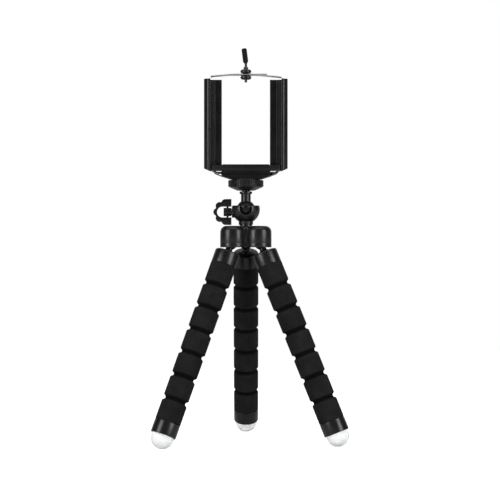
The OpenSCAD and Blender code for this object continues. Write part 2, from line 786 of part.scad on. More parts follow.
// Return spring, as the closed tube that its coils fill
module spring(side) {
    from = -cell_x + 2 * free_gap + stop_l;
    color("#9a9da1") on_axis() rotate([0, 0, side > 0 ? 0 : 180])
        translate([from, cell_y, run_z]) rotate([0, 90, 0]) difference() {
            cylinder(h = cell_x - from, d = spring_d);
            translate([0, 0, -over])
                cylinder(h = cell_x - from + 2 * over, d = spring_d - 2 * spring_wire_d);
        }
}

// Clamp that holds the two wires together at the top
module clamp_disc() {
    cylinder(h = disc_dish, d1 = disc_d - 2 * disc_dish, d2 = disc_d);
    translate([0, 0, disc_dish]) cylinder(h = disc_t - 2 * disc_dish, d = disc_d);
    translate([0, 0, disc_t - disc_dish]) cylinder(h = disc_dish, d1 = disc_d, d2 = disc_d - 2 * disc_dish);
}

module clamp_nut() {
    color("#1c1c1d") on_axis(nut_top - disc_t) difference() {
        union() {
            clamp_disc();
            translate([0, 0, -nub_h]) cylinder(h = nub_h + disc_dish, d = nub_d);
        }
        translate([0, 0, disc_dish + over]) cylinder(h = disc_t, d = clamp_screw_d + 2 * fit_gap);
    }
}

module clamp_washer() {
    color("#1c1c1d") on_axis(washer_z) difference() {
        clamp_disc();
        translate([0, 0, -over]) cylinder(h = disc_t + 2 * over, d = clamp_screw_d + 2 * fit_gap);
    }
}

module clamp_screw() {
    low = nut_top - disc_t + disc_dish + over + fit_gap;
    color("#8a8c90") on_axis(low) cylinder(h = neck_z + neck_h * 0.2 - low, d = clamp_screw_d * 0.99);
}

module clamp_lever() {
    side = lever_w / 2;
    edge = lever_w * 0.2;
    color("#1c1c1d") on_axis() difference() {
        union() {
            translate([0, 0, neck_z]) cylinder(h = neck_h * 0.4, d = clamp_screw_d * 1.45);
            translate([0, 0, neck_z + neck_h * 0.3])
                cylinder(h = neck_h * 0.7 + lever_t, d = neck_d);
            translate([0, 0, lever_z]) rotate([0, -lever_lean, 0]) {
                front_slab([[neck_d / 2, -fit_gap], [side, 2 * edge], [side, lever_h - edge],
                    [side - edge, lever_h], [edge - side, lever_h], [-side, lever_h - edge],
                    [-side, 2 * edge], [-neck_d / 2, -fit_gap]], -lever_t / 2, lever_t / 2);
            }
        }
        translate([0, 0, neck_z - over]) cylinder(h = neck_h * 0.2 + over, d = clamp_screw_d * 0.99);
    }
}

hub_shell();
hub_plate();
hub_screws();
ball_cup();
ball_seat();
pan_bolt();
press_pad();
knob_screw();
lock_knob();
ball_stud();
lock_ring();
ring_pad();
holder_base();
holder_tray();
thread_insert();
jaw(-1);  // left_jaw
grip(-1);  // left_grip
wire(-1);  // left_wire
stop(-1);  // left_stop
spring(-1);  // left_spring
jaw(1);  // right_jaw
grip(1);  // right_grip
wire(1);  // right_wire
stop(1);  // right_stop
spring(1);  // right_spring
clamp_nut();
clamp_washer();
clamp_screw();
clamp_lever();
leg_pin(back_turn);  // back_pin
leg_cap(back_turn);  // back_cap
leg_sleeve(back_turn);  // back_sleeve
leg_link(back_turn, 2);  // back_link_2
leg_link(back_turn, 3);  // back_link_3
leg_link(back_turn, 4);  // back_link_4
leg_link(back_turn, 5);  // back_link_5
leg_link(back_turn, 6);  // back_link_6
leg_foot(back_turn);  // back_foot
leg_tip(back_turn);  // back_tip
leg_pin(left_turn);  // left_pin
leg_cap(left_turn);  // left_cap
leg_sleeve(left_turn);  // left_sleeve
leg_link(left_turn, 2);  // left_link_2
leg_link(left_turn, 3);  // left_link_3
leg_link(left_turn, 4);  // left_link_4
leg_link(left_turn, 5);  // left_link_5
leg_link(left_turn, 6);  // left_link_6
leg_foot(left_turn);  // left_foot
leg_tip(left_turn);  // left_tip
leg_pin(right_turn);  // right_pin
leg_cap(right_turn);  // right_cap
leg_sleeve(right_turn);  // right_sleeve
leg_link(right_turn, 2);  // right_link_2
leg_link(right_turn, 3);  // right_link_3
leg_link(right_turn, 4);  // right_link_4
leg_link(right_turn, 5);  // right_link_5
leg_link(right_turn, 6);  // right_link_6
leg_foot(right_turn);  // right_foot
leg_tip(right_turn);  // right_tip
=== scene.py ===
import json
import math
import bmesh
import bpy
from mathutils import Matrix, Vector


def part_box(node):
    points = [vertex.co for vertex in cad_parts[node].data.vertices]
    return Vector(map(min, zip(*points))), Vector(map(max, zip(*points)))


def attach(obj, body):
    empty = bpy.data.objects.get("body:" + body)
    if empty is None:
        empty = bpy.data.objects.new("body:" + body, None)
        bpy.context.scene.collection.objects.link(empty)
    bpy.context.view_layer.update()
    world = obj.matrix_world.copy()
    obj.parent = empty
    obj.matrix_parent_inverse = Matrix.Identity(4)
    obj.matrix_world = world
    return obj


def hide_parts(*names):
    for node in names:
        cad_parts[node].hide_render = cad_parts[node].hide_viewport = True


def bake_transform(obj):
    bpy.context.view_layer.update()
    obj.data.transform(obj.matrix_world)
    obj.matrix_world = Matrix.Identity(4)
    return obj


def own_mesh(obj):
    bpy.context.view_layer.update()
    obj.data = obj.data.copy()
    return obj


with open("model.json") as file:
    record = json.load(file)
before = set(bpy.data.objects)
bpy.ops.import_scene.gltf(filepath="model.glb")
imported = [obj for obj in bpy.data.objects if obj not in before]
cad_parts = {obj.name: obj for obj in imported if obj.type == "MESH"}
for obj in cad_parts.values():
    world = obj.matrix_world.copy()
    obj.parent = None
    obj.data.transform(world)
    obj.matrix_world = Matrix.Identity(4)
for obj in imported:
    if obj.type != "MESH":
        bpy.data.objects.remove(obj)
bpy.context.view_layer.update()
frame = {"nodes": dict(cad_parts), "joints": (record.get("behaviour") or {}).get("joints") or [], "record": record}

nodes = frame["nodes"]
joints = {joint["name"]: joint for joint in frame["joints"]}
bodies = frame["record"]["behaviour"]["bodies"]
bodyOfNode = {node: body for body, members in bodies.items() for node in members}
mm = 0.001
ballCentre = Vector(joints["tilt"]["pos_m"])  # on the head's upright axis
legSides = ("back", "left", "right")
print("frame loaded:", len(nodes), "nodes")


# Node helpers

def linkedNode(tree, kind, inputs=None, **settings):
    # a node with its settings, its values and its links from other nodes' sockets
    made = tree.nodes.new(kind)
    for key, value in settings.items():
        setattr(made, key, value)
    for key, value in (inputs or {}).items():
        if isinstance(value, bpy.types.NodeSocket):
            tree.links.new(value, made.inputs[key])
        else:
            made.inputs[key].default_value = value
    return made


def treeMath(tree, operation, first, second=0.0):
    made = linkedNode(tree, "ShaderNodeMath", {0: first, 1: second}, operation=operation)
    return made.outputs["Value"]


def mapped(tree, value, fromLow, fromHigh, toLow, toHigh, **settings):
    made = linkedNode(tree, "ShaderNodeMapRange", {
        "Value": value, "From Min": fromLow, "From Max": fromHigh, "To Min": toLow, "To Max": toHigh},
        **settings)
    return made.outputs["Result"]


def noiseOf(tree, vector, scale, detail):
    made = linkedNode(tree, "ShaderNodeTexNoise", {"Vector": vector, "Scale": scale, "Detail": detail})
    return made.outputs["Fac"]


def darkened(tree, colour, level):
    made = linkedNode(tree, "ShaderNodeVectorMath", {0: colour, 1: level}, operation="MULTIPLY")
    return made.outputs["Vector"]


# Finishes. Scales are features per metre, depths are metres.

noiseLook = {"cloudDetail": 4.0, "grainDetail": 3.0, "brushDetail": 2.0, "smearDetail": 5.0, "smearShare": 2.7,
             "toneRange": (0.32, 0.68), "smearRange": (0.3, 0.7), "poreRange": (0.05, 0.5)}


def finishMaterial(name, look):
    material = bpy.data.materials.new(name)
    material.use_nodes = True
    tree = material.node_tree
    shader = tree.nodes["Principled BSDF"]
    for socket, value in look.get("shader", {}).items():
        shader.inputs[socket].default_value = value
    place = linkedNode(tree, "ShaderNodeTexCoord").outputs["Object"]
    cloud = noiseOf(tree, place, look["cloudScale"], noiseLook["cloudDetail"])
    height = noiseOf(tree, place, look["grainScale"], noiseLook["grainDetail"])
    tone = linkedNode(tree, "ShaderNodeValToRGB", {"Fac": cloud})
    shades = (look["dark"], look["light"])
    for stop, position, shade in zip(tone.color_ramp.elements, noiseLook["toneRange"], shades):
        stop.position = position
        stop.color = (*shade, 1)
    colour = tone.outputs["Color"]
    if "poreScale" in look:  # open cells of a sponge: a bump, and painted shade in their hollows
        pores = linkedNode(tree, "ShaderNodeTexVoronoi", {"Vector": place, "Scale": look["poreScale"]})
        cell = mapped(tree, pores.outputs["Distance"], *noiseLook["poreRange"], 0.0, 1.0)
        colour = darkened(tree, colour, mapped(tree, cell, 0.0, 1.0, look["paintedPoreShade"], 1.0))
        height = treeMath(tree, "ADD", cell, height)
    if "paintedGrooveShade" in look:  # painted shade in the grooves, by the foam's own attribute
        depth = linkedNode(tree, "ShaderNodeAttribute", attribute_name="groove").outputs["Fac"]
        colour = darkened(tree, colour, mapped(tree, depth, 0.0, 1.0, 1.0, look["paintedGrooveShade"]))
    if "brushScale" in look:  # fine turning marks on metal
        turned = linkedNode(tree, "ShaderNodeMapping", {"Vector": place, "Scale": look["brushScale"]})
        marks = noiseOf(tree, turned.outputs["Vector"], 1.0, noiseLook["brushDetail"])
        height = treeMath(tree, "ADD", height, marks)
    smear = noiseOf(tree, place, look["cloudScale"] * noiseLook["smearShare"], noiseLook["smearDetail"])
    gloss = mapped(tree, smear, *noiseLook["smearRange"], *look["rough"])
    bump = linkedNode(tree, "ShaderNodeBump", {
        "Height": height, "Distance": look["grainDepth"], "Strength": 1.0})
    tree.links.new(colour, shader.inputs["Base Color"])
    tree.links.new(gloss, shader.inputs["Roughness"])
    tree.links.new(bump.outputs["Normal"], shader.inputs["Normal"])
    return material


finishLooks = {
    "mouldedBlack": {"dark": (0.0045, 0.0045, 0.005), "light": (0.0075, 0.0075, 0.008), "cloudScale": 60.0,
                     "grainScale": 2600.0, "grainDepth": 0.000006, "rough": (0.27, 0.34),
                     "shader": {"Specular IOR Level": 0.36}},
    "satinBlack": {"dark": (0.004, 0.004, 0.0045), "light": (0.007, 0.007, 0.0075), "cloudScale": 45.0,
                   "grainScale": 1900.0, "grainDepth": 0.000008, "rough": (0.28, 0.36),
                   "shader": {"Specular IOR Level": 0.36}},
    # painted shade: the holder's black plastic made darker and less glossy, for the base that sits in shade under
    # the tray
    "paintedShadeBlack": {"dark": (0.003, 0.003, 0.0034), "light": (0.005, 0.005, 0.0055), "cloudScale": 45.0,
                    "grainScale": 1900.0, "grainDepth": 0.000008, "rough": (0.36, 0.44),
                    "shader": {"Specular IOR Level": 0.14}},
    "coreGrey": {"dark": (0.022, 0.022, 0.024), "light": (0.034, 0.034, 0.036), "cloudScale": 80.0,
                 "grainScale": 2200.0, "grainDepth": 0.00001, "rough": (0.45, 0.6)},
    "legFoam": {"dark": (0.0095, 0.0095, 0.0099), "light": (0.0145, 0.0145, 0.0152), "cloudScale": 120.0,
                "grainScale": 3200.0, "grainDepth": 0.00005, "rough": (0.86, 0.96), "poreScale": 1700.0,
                "paintedPoreShade": 0.6, "paintedGrooveShade": 0.25, "shader": {"Specular IOR Level": 0.04}},
    "gripRubber": {"dark": (0.006, 0.006, 0.0065), "light": (0.0095, 0.0095, 0.0105), "cloudScale": 90.0,
                   "grainScale": 2800.0, "grainDepth": 0.000012, "rough": (0.55, 0.68),
                   "shader": {"Specular IOR Level": 0.35}},
    "tipSilicone": {"dark": (0.93, 0.94, 0.94), "light": (0.96, 0.97, 0.97), "cloudScale": 70.0,
                    "grainScale": 1200.0, "grainDepth": 0.000006, "rough": (0.32, 0.42),
                    "shader": {"Subsurface Weight": 0.5, "Subsurface Radius": (0.004, 0.004, 0.004),
                               "Subsurface Scale": 1.0, "Transmission Weight": 0.5, "IOR": 1.2}},
    "seatNylon": {"dark": (0.66, 0.66, 0.63), "light": (0.76, 0.76, 0.73), "cloudScale": 90.0,
                  "grainScale": 1800.0, "grainDepth": 0.000008, "rough": (0.4, 0.5)},
    "zincSteel": {"dark": (0.46, 0.47, 0.49), "light": (0.60, 0.61, 0.63), "cloudScale": 110.0,
                  "grainScale": 2400.0, "grainDepth": 0.000004, "rough": (0.26, 0.4),
                  "brushScale": (300.0, 300.0, 5200.0), "shader": {"Metallic": 1.0}},
    "turnedBrass": {"dark": (0.60, 0.43, 0.18), "light": (0.76, 0.58, 0.29), "cloudScale": 100.0,
                    "grainScale": 2400.0, "grainDepth": 0.000004, "rough": (0.24, 0.36),
                    "brushScale": (300.0, 300.0, 5200.0), "shader": {"Metallic": 1.0}},
    "wireChrome": {"dark": (0.6, 0.61, 0.63), "light": (0.7, 0.71, 0.73), "cloudScale": 140.0,
                   "grainScale": 900.0, "grainDepth": 0.000001, "rough": (0.05, 0.11),
                   "shader": {"Metallic": 1.0}},
}
finishes = {name: finishMaterial(name, look) for name, look in finishLooks.items()}
print("finishes made:", len(finishes))


# Mesh helpers. Pieces are drawn in millimetres and then put in place.

meshLook = {"weld": 0.0005, "least": 0.000001, "reachShare": 0.49, "domeShare": 0.6, "domeTurn": 26,
            "sharpAngle": 32, "bevelAngle": 35, "bevelSegments": 3, "flatAngle": 0.6}
nodeWeld = 0.000001  # in metres, because the nodes' own meshes are in metres


def filleted(corners, closed=False, steps=5):
    # corners are (x, y, rounding); a rounded corner becomes a short arc
    points, last = [], len(corners) - 1
    for i, (x, y, rounding) in enumerate(corners):
        here = Vector((x, y))
        if rounding == 0 or (not closed and i in (0, last)):
            points.append((x, y))
            continue
        back = Vector(corners[i - 1][:2]) - here
        ahead = Vector(corners[(i + 1) % len(corners)][:2]) - here
        half = back.angle(ahead) / 2
        room = min(back.length, ahead.length) * meshLook["reachShare"]
        reach = min(rounding / math.tan(half), room)
        radius = reach * math.tan(half)
        inward = (back.normalized() + ahead.normalized()).normalized()
        centre = here + inward * (radius / math.sin(half))
        first, final = here + back.normalized() * reach - centre, here + ahead.normalized() * reach - centre
        sweep = first.angle_signed(final)
        for k in range(steps + 1):
            turned = Matrix.Rotation(-sweep * k / steps, 2) @ first
            points.append(tuple(centre + turned))
    return points


def latheMesh(profile, sides=72):
    # turns (radius, height) points about z; ends on the axis close it, otherwise the loop is a ring
    shape = bmesh.new()
    turns = [math.tau * k / sides for k in range(sides)]
    rings = []
    for radius, height in profile:
        onAxis = radius < meshLook["least"]
        rings.append([shape.verts.new((radius * math.cos(turn), radius * math.sin(turn), height))
                      for turn in (turns[:1] if onAxis else turns)])
    pairs = list(zip(rings, rings[1:]))
    if len(rings[0]) > 1:
        pairs.append((rings[-1], rings[0]))
    for upper, lower in pairs:
        for k in range(sides):
            n = (k + 1) % sides
            if len(upper) == 1:
                shape.faces.new((upper[0], lower[k], lower[n]))
            elif len(lower) == 1:
                shape.faces.new((upper[k], lower[0], upper[n]))
            else:
                shape.faces.new((upper[k], lower[k], lower[n], upper[n]))
    return shape


def prismMesh(outline, lowAt, high):
    # outline is (x, y) points; lowAt gives the lower face's height at a point
    shape = bmesh.new()
    lower = [shape.verts.new((x, y, lowAt(x, y))) for x, y in outline]
    upper = [shape.verts.new((x, y, high)) for x, y in outline]
    shape.faces.new(lower)
    shape.faces.new(upper)
    for k in range(len(outline)):
        n = (k + 1) % len(outline)
        shape.faces.new((lower[k], lower[n], upper[n], upper[k]))
    return shape


def rodMesh(route, radius, sides):
    # a round rod along a route, with domed ends
    points = [Vector(point) for point in route]
    last = len(points) - 1
    along = [(points[min(i + 1, last)] - points[max(i - 1, 0)]).normalized() for i in range(last + 1)]
    leans = [math.radians(meshLook["domeTurn"] * k) for k in (3, 2, 1)]
    dome = [(radius * meshLook["domeShare"] * (1 - math.sin(lean)), math.cos(lean)) for lean in leans]
    rings = [(points[0] + along[0] * inset, along[0], share) for inset, share in dome]
    rings += [(point, direction, 1.0) for point, direction in zip(points[1:-1], along[1:-1])]
    rings += [(points[-1] - along[-1] * inset, along[-1], share) for inset, share in reversed(dome)]
    shape = bmesh.new()
    turns = [math.tau * k / sides for k in range(sides)]
    side = along[0].orthogonal().normalized()
    loops = []
    for point, direction, share in rings:
        side = (side - direction * side.dot(direction)).normalized()
        other = direction.cross(side)
        loops.append([shape.verts.new(point + (side * math.cos(turn) + other * math.sin(turn)) * radius * share)
                      for turn in turns])
    for first, second in zip(loops, loops[1:]):
        for k in range(sides):
            n = (k + 1) % sides
            shape.faces.new((first[k], first[n], second[n], second[k]))
    shape.faces.new(loops[0])
    shape.faces.new(loops[-1])
    return shape


def ballArc(ball, neck, centre, steps):
    # from a ball's top down to where its neck leaves it
    turns = [math.pi * k / steps for k in range(steps)]
    neckTurn = math.pi - math.asin(neck / ball)
    return [(ball * math.sin(turn), centre + ball * math.cos(turn)) for turn in turns if turn < neckTurn]


def neckDrop(ball, neck):
    # how far below a ball's centre its neck leaves it
    return ball * math.cos(math.asin(neck / ball))


def smoothed(mesh, sharpAngle=meshLook["sharpAngle"]):
    mesh.shade_smooth()
    mesh.set_sharp_from_angle(angle=math.radians(sharpAngle))


def cleaned(shape, place):
    bmesh.ops.remove_doubles(shape, verts=shape.verts, dist=meshLook["weld"])
    bmesh.ops.recalc_face_normals(shape, faces=shape.faces)
    shape.transform(place)


def placedPiece(name, shape, place, finish):
    cleaned(shape, place)
    if place.determinant() < 0:
        bmesh.ops.reverse_faces(shape, faces=shape.faces)
    mesh = bpy.data.meshes.new(name)
    shape.to_mesh(mesh)
    shape.free()
    mesh.materials.append(finishes[finish])
    smoothed(mesh)
    piece = bpy.data.objects.new(name, mesh)
    bpy.context.scene.collection.objects.link(piece)
    return piece


def applied(piece):
    # turns a piece's modifiers into plain mesh
    evaluated = piece.evaluated_get(bpy.context.evaluated_depsgraph_get())
    mesh = bpy.data.meshes.new_from_object(evaluated)
    piece.modifiers.clear()
    piece.data = mesh
    return piece


def edgesSoftened(piece, width, angle=meshLook["bevelAngle"]):
    bevel = piece.modifiers.new("softEdges", "BEVEL")
    bevel.width = width * mm
    bevel.segments = meshLook["bevelSegments"]
    bevel.limit_method = "ANGLE"
    bevel.angle_limit = math.radians(angle)
    bevel.use_clamp_overlap = True
    applied(piece)
    smoothed(piece.data)


def standsFor(piece, *nodeNames):
    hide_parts(*nodeNames)
    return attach(piece, bodyOfNode[nodeNames[0]])


def softenedCopy(name, nodeName, finish, width):
    # the node's own shape with its edges broken, as a mould gives them
    shape = bmesh.new()
    shape.from_mesh(nodes[nodeName].data)
    bmesh.ops.remove_doubles(shape, verts=shape.verts, dist=nodeWeld)
    bmesh.ops.dissolve_limit(shape, angle_limit=math.radians(meshLook["flatAngle"]), verts=shape.verts,
                             edges=shape.edges)
    mesh = bpy.data.meshes.new(name)
    shape.to_mesh(mesh)
    shape.free()
    mesh.materials.clear()
    mesh.materials.append(finishes[finish])
    piece = bpy.data.objects.new(name, mesh)
    bpy.context.scene.collection.objects.link(piece)
    edgesSoftened(piece, width)
    return standsFor(piece, nodeName)


def dressed(finish, *nodeNames):
    for nodeName in nodeNames:
        node = nodes[nodeName]
        if not node.material_slots:
            node.data.materials.append(finishes[finish])
        for slot in node.material_slots:
            slot.material = finishes[finish]
        smoothed(node.data)


def headPlace(mirrored=False):
    place = Matrix.Translation((ballCentre.x, ballCentre.y, 0)) @ Matrix.Scale(mm, 4)
    return place @ Matrix.Diagonal((-1, 1, 1, 1)) if mirrored else place


def legPlace(side):
    # the leg's ball is the origin and the foot lies down its -z
    up = -Vector(joints[side + "_spin"]["axis"]).normalized()
    across = Vector(joints[side + "_spread"]["axis"]).normalized()
    turned = Matrix((across.cross(up), across, up)).transposed().to_4x4()
    return Matrix.Translation(Vector(joints[side + "_spread"]["pos_m"])) @ turned @ Matrix.Scale(mm, 4)


def heights(nodeName):
    return [corner.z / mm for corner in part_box(nodeName)]


def geometryTree(name, inputs):
    tree = bpy.data.node_groups.new(name, "GeometryNodeTree")
    tree.interface.new_socket(name="Geometry", in_out="OUTPUT", socket_type="NodeSocketGeometry")
    for label, kind in inputs.items():
        tree.interface.new_socket(name=label, in_out="INPUT", socket_type="NodeSocket" + kind)
    return tree, tree.nodes.new("NodeGroupInput").outputs


def treeEnds(tree, geometry, material):
    real = linkedNode(tree, "GeometryNodeRealizeInstances", {"Geometry": geometry}).outputs["Geometry"]
    painted = linkedNode(tree, "GeometryNodeSetMaterial", {"Geometry": real, "Material": material})
    linkedNode(tree, "NodeGroupOutput", {"Geometry": painted.outputs["Geometry"]})
    return tree


def grownPiece(name, tree, values, place, sharpAngle=meshLook["sharpAngle"]):
    # runs a tree, keeps its mesh and puts it in place
    piece = bpy.data.objects.new(name, bpy.data.meshes.new(name))
    modifier = piece.modifiers.new("grown", "NODES")
    modifier.node_group = tree
    for item in tree.interface.items_tree:
        if item.in_out == "INPUT":
            modifier[item.identifier] = values[item.name]
    bpy.context.scene.collection.objects.link(piece)
    applied(piece)
    shape = bmesh.new()
    shape.from_mesh(piece.data)
    cleaned(shape, place)
    shape.to_mesh(piece.data)
    shape.free()
    smoothed(piece.data, sharpAngle)
    return piece


# Camera and lights, in metres

cameraLook = {"distance": 1.22, "height": 0.1461, "aside": 0.0031, "lens": 117.35}
stripLook = {"turn": 50, "distance": 1.3, "width": 0.5, "height": 1.3, "rise": 0.16, "power": 17.0,
             "aimHeight": 0.16}
topLook = {"size": 1.3, "height": 1.35, "forward": 0.1, "power": 9.0}
lightAim = Vector((ballCentre.x, ballCentre.y, stripLook["aimHeight"]))

cameraData = bpy.data.cameras.new("camera")
cameraData.lens = cameraLook["lens"]
camera = bpy.data.objects.new("camera", cameraData)
camera.location = (ballCentre.x + cameraLook["aside"], ballCentre.y - cameraLook["distance"],
                   cameraLook["height"])
camera.rotation_euler = (math.radians(90), 0, 0)
bpy.context.scene.collection.objects.link(camera)
bpy.context.scene.camera = camera
bpy.context.scene.view_settings.view_transform = "Standard"


def areaLight(name, place, aim, width, height, power):
    data = bpy.data.lights.new(name, "AREA")
    data.shape = "RECTANGLE"
    data.size = width
    data.size_y = height
    data.energy = power
    lamp = bpy.data.objects.new(name, data)
    lamp.location = place
    lamp.rotation_euler = (Vector(aim) - Vector(place)).to_track_quat("-Z", "Y").to_euler()
    bpy.context.scene.collection.objects.link(lamp)


for name, sign in (("stripLeft", -1), ("stripRight", 1)):
    turn = math.radians(stripLook["turn"]) * sign
    lampPlace = lightAim + Vector((math.sin(turn), -math.cos(turn), 0)) * stripLook["distance"]
    lampPlace.z += stripLook["rise"]
    areaLight(name, lampPlace, lightAim, stripLook["width"], stripLook["height"], stripLook["power"])
areaLight("topSoft", (lightAim.x, lightAim.y - topLook["forward"], topLook["height"]),
          (lightAim.x, lightAim.y, 0), topLook["size"], topLook["size"], topLook["power"])


# White sweep and world

sweepLook = {"size": 6.0, "segments": 64, "near": 0.35, "far": 1.3, "glow": 0.75, "tone": 0.55}
worldLook = {"behindFrom": 0.45, "behindTo": 0.95, "dim": 0.02, "bright": 0.8, "plain": 0.35}


def seenDirectly(tree):
    # 1 for rays that show the white itself: to the camera and through silicone
    path = linkedNode(tree, "ShaderNodeLightPath").outputs
    return treeMath(tree, "MAXIMUM", path["Is Camera Ray"], path["Is Transmission Ray"])


def sweepMaterial():
    # near the tripod the floor keeps its shadow, and further out it is plain white
    material = bpy.data.materials.new("whiteSweep")
    material.use_nodes = True
    tree = material.node_tree
    tree.nodes.remove(tree.nodes["Principled BSDF"])
    place = linkedNode(tree, "ShaderNodeTexCoord").outputs["Object"]
    away = linkedNode(tree, "ShaderNodeVectorMath", {0: place}, operation="LENGTH").outputs["Value"]
    fade = mapped(tree, away, sweepLook["near"], sweepLook["far"], 0.0, 1.0)
    tone = linkedNode(tree, "ShaderNodeBsdfDiffuse", {"Color": (sweepLook["tone"],) * 3 + (1,)}).outputs["BSDF"]
    glow = linkedNode(tree, "ShaderNodeEmission", {"Strength": sweepLook["glow"]}).outputs["Emission"]
    white = linkedNode(tree, "ShaderNodeEmission", {"Strength": 1.0}).outputs["Emission"]
    near = linkedNode(tree, "ShaderNodeAddShader", {0: tone, 1: glow}).outputs["Shader"]
    shown = linkedNode(tree, "ShaderNodeMixShader", {0: fade, 1: near, 2: white}).outputs["Shader"]
    final = linkedNode(tree, "ShaderNodeMixShader", {0: seenDirectly(tree), 1: tone, 2: shown})
    tree.links.new(final.outputs["Shader"], tree.nodes["Material Output"].inputs["Surface"])
    return material


floorShape = bmesh.new()
bmesh.ops.create_circle(floorShape, cap_ends=True, segments=sweepLook["segments"], radius=sweepLook["size"])
floorMesh = bpy.data.meshes.new("floor")
floorShape.to_mesh(floorMesh)
floorShape.free()
floorMesh.materials.append(sweepMaterial())
floor = bpy.data.objects.new("floor", floorMesh)
bpy.context.scene.collection.objects.link(floor)

world = bpy.context.scene.world or bpy.data.worlds.new("studio")
bpy.context.scene.world = world
world.use_nodes = True


def worldStrength(tree):
    # white when seen, dim in front of the tripod and bright behind it for gloss, and plain for the rest
    way = linkedNode(tree, "ShaderNodeTexCoord").outputs["Generated"]
    backward = linkedNode(tree, "ShaderNodeSeparateXYZ", {0: way}).outputs["Y"]
    behind = mapped(tree, backward, worldLook["behindFrom"], worldLook["behindTo"], worldLook["dim"],
                    worldLook["bright"])
    glossy = linkedNode(tree, "ShaderNodeLightPath").outputs["Is Glossy Ray"]
    mirror = treeMath(tree, "MULTIPLY", glossy, behind)
    plain = treeMath(tree, "MULTIPLY", treeMath(tree, "SUBTRACT", 1.0, glossy), worldLook["plain"])
    return treeMath(tree, "MAXIMUM", seenDirectly(tree), treeMath(tree, "ADD", mirror, plain))


background = world.node_tree.nodes["Background"]
world.node_tree.links.new(worldStrength(world.node_tree), background.inputs["Strength"])
background.inputs["Color"].default_value = (1, 1, 1, 1)
print("camera, lights and sweep set")


# Legs. Depths are measured from the leg's ball, down its axis.

legLook = {"capStart": 7.0, "capEnd": 17.5, "radius": 9.5, "coreRadius": 6.0, "lobes": 7, "lobeLength": 15.6,
           "grooveWidth": 2.4, "footLength": 9.8, "edgeRound": 0.3, "sides": 96}
lobePitch = legLook["lobeLength"] + legLook["grooveWidth"]
foamEnd = legLook["capEnd"] + legLook["lobes"] * lobePitch - legLook["grooveWidth"]
footEnd = foamEnd + legLook["footLength"]
bendFirst = legLook["capEnd"] + legLook["lobeLength"] + legLook["grooveWidth"] / 2
bendLast = bendFirst + (legLook["lobes"] - 2) * lobePitch

pinLook = {"ball": 4.6, "neck": 2.6, "neckRound": 0.3, "flare": 4.2, "flareRound": 0.1, "flareShare": 0.76,
           "gap": 0.05, "shank": 2.2, "head": 3.4, "headThick": 1.4, "headRound": 0.2, "seatShare": 0.3,
           "arcSteps": 24}
pinSeat = legLook["capStart"] + pinLook["seatShare"] * (legLook["capEnd"] - legLook["capStart"])


def pinPiece(side, place):
    flareEnd = legLook["capStart"] - pinLook["gap"]
    headEnd = pinSeat + pinLook["headThick"]
    profile = ballArc(pinLook["ball"], pinLook["neck"], 0, pinLook["arcSteps"]) + filleted([
        (pinLook["neck"], -neckDrop(pinLook["ball"], pinLook["neck"]), 0),
        (pinLook["neck"], -legLook["capStart"] * pinLook["flareShare"], pinLook["neckRound"]),
        (pinLook["flare"], -flareEnd, pinLook["flareRound"]), (pinLook["shank"], -flareEnd, 0),
        (pinLook["shank"], -pinSeat, 0), (pinLook["head"], -pinSeat, pinLook["headRound"]),
        (pinLook["head"], -headEnd, pinLook["headRound"]), (0, -headEnd, 0)])
    pin = placedPiece(side + "BallPin", latheMesh(profile), place, "mouldedBlack")
    standsFor(pin, side + "_pin")


capLook = {"hole": 2.3, "bore": 3.45, "boreAbove": 1.9, "mouth": 3.6, "topRound": 1.3, "rimHalf": 1.8,
           "rimCut": 0.8, "rimRound": 0.2}


def capPiece(side, place):
    start, end, core = legLook["capStart"], legLook["capEnd"], legLook["coreRadius"]
    rimHigh, rimLow = capLook["rimHalf"] - bendFirst, -capLook["rimHalf"] - bendFirst
    profile = filleted([
        (capLook["hole"], -start, 0), (legLook["radius"], -start, capLook["topRound"]),
        (legLook["radius"], -end, legLook["edgeRound"]), (core, -end, 0), (core, rimHigh, 0),
        (core - capLook["rimCut"], rimLow, capLook["rimRound"]), (capLook["mouth"], rimLow, 0),
        (capLook["bore"], capLook["boreAbove"] - bendFirst, 0), (capLook["bore"], -pinSeat, 0),
        (capLook["hole"], -pinSeat, 0)], closed=True)
    cap = placedPiece(side + "LegCap", latheMesh(profile, legLook["sides"]), place, "mouldedBlack")
    standsFor(cap, side + "_cap")


footLook = {"ball": 4.0, "neck": 1.9, "neckLength": 4.3, "lowRound": 0.35, "hole": 5.1, "holeDepth": 5.4,
            "arcSteps": 20}


def footPiece(side, place):
    core, radius, edge = legLook["coreRadius"], legLook["radius"], legLook["edgeRound"]
    neckEnd = bendLast + footLook["neckLength"]
    holeTop = footLook["holeDepth"] - footEnd
    profile = ballArc(footLook["ball"], footLook["neck"], -bendLast, footLook["arcSteps"]) + filleted([
        (footLook["neck"], -bendLast - neckDrop(footLook["ball"], footLook["neck"]), 0),
        (footLook["neck"], -neckEnd, 0), (core, -neckEnd, edge), (core, -foamEnd, 0), (radius, -foamEnd, edge),
        (radius, -footEnd, footLook["lowRound"]), (footLook["hole"], -footEnd, 0),
        (footLook["hole"], holeTop, 0), (0, holeTop, 0)])
    foot = placedPiece(side + "FootCap", latheMesh(profile, legLook["sides"]), place, "mouldedBlack")
    standsFor(foot, side + "_foot")


tipLook = {"radius": 8.5, "sunkShare": 0.18, "plug": 5.0, "plugDepth": 5.35, "seam": 0.02, "steps": 22}


